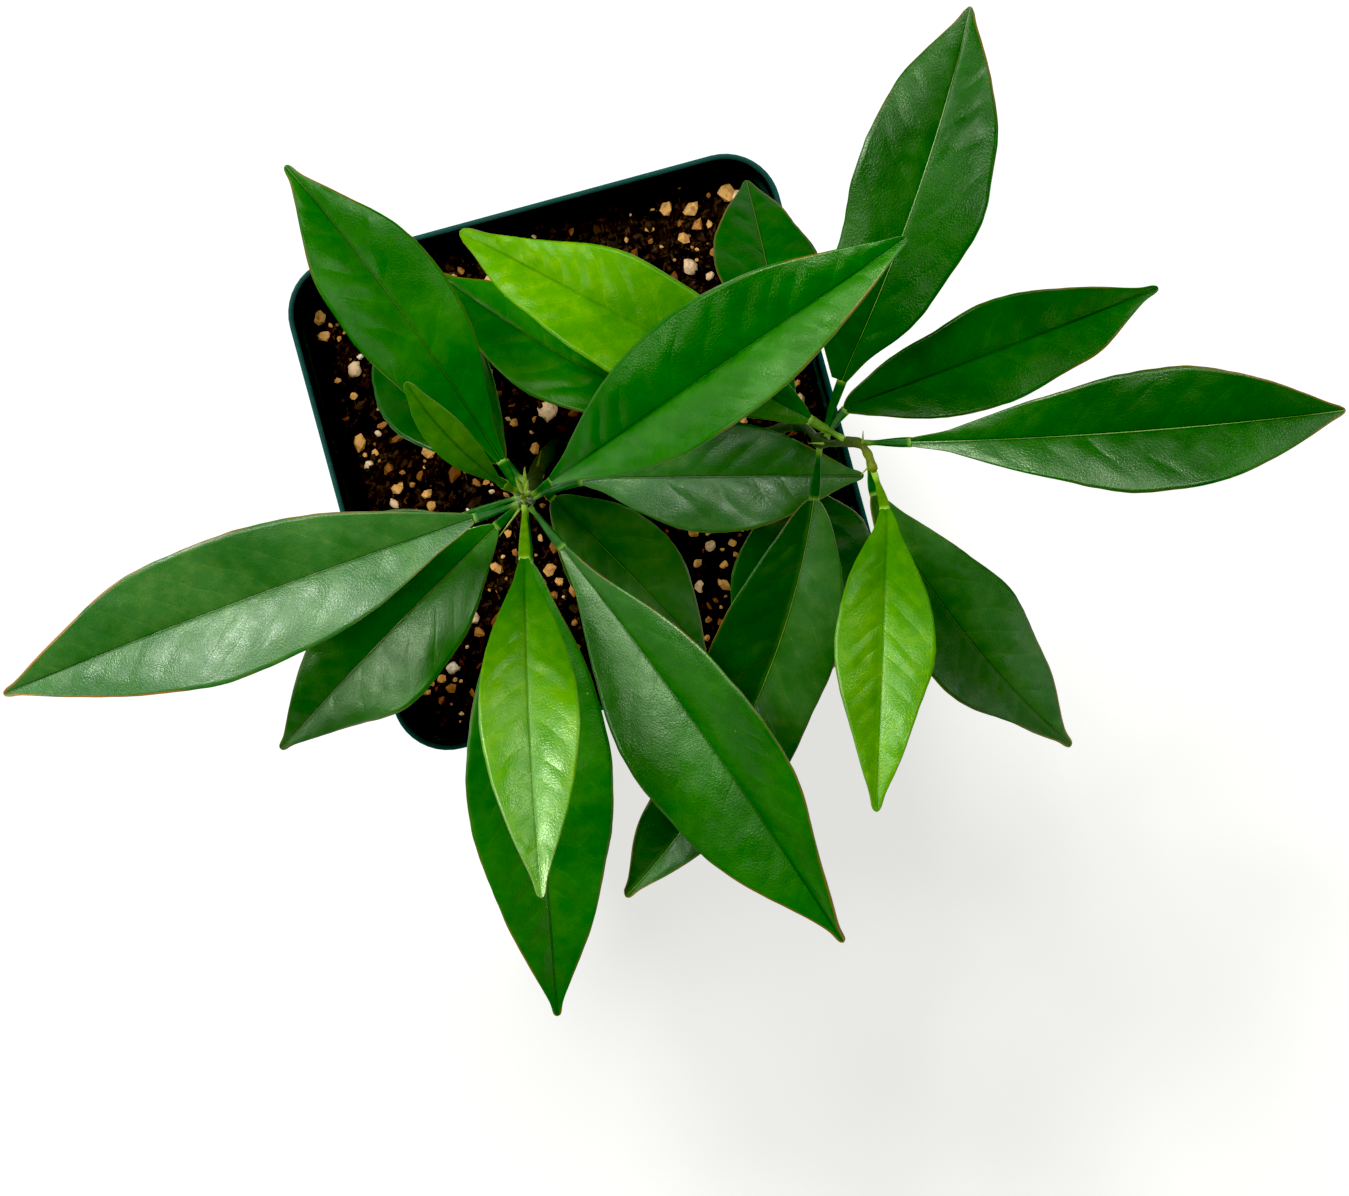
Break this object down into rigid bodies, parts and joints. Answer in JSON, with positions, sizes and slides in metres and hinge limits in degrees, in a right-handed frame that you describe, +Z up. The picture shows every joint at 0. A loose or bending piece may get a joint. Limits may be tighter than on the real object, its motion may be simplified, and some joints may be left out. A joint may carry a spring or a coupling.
{
  "type": "potted kumquat tree",
  "caption": "Young kumquat tree with a forked stem and folded, pointed, glossy leaves, growing in a square plastic nursery pot of potting mix.",
  "frame": {"origin": "centre of the pot's flat underside", "axes": "+Z up along the pot's height, X and Y along the pot's sides; the two leafy shoots lean towards -X and +X"},
  "size_m": [0.2345, 0.1594, 0.216],
  "materials": {
    "pot_plastic": "satin dark green-black plastic",
    "potting_mix": "rough bark and grit",
    "stem_bark": "smooth young green bark",
    "leaf_dark": "glossy leathery leaf",
    "leaf_mid": "glossy leathery leaf",
    "leaf_young": "glossy tender leaf"
  },
  "bodies": {
    "root": {"pot": "pot_plastic", "soil": "potting_mix", "stem": "stem_bark", "leaf_main_01": "leaf_dark", "leaf_main_02": "leaf_dark", "leaf_main_03": "leaf_dark", "leaf_main_04": "leaf_dark", "leaf_main_05": "leaf_dark", "leaf_main_06": "leaf_dark", "leaf_main_07": "leaf_dark", "leaf_main_08": "leaf_dark", "leaf_side_01": "leaf_dark", "leaf_side_02": "leaf_dark", "leaf_side_03": "leaf_dark", "leaf_side_04": "leaf_dark", "leaf_side_05": "leaf_dark", "leaf_side_06": "leaf_dark", "leaf_side_07": "leaf_dark", "leaf_side_09": "leaf_dark", "leaf_main_09": "leaf_mid", "leaf_main_10": "leaf_mid", "leaf_main_11": "leaf_young", "leaf_main_12": "leaf_young", "leaf_side_08": "leaf_young", "leaf_side_10": "leaf_young"}
  },
  "joints": []
}
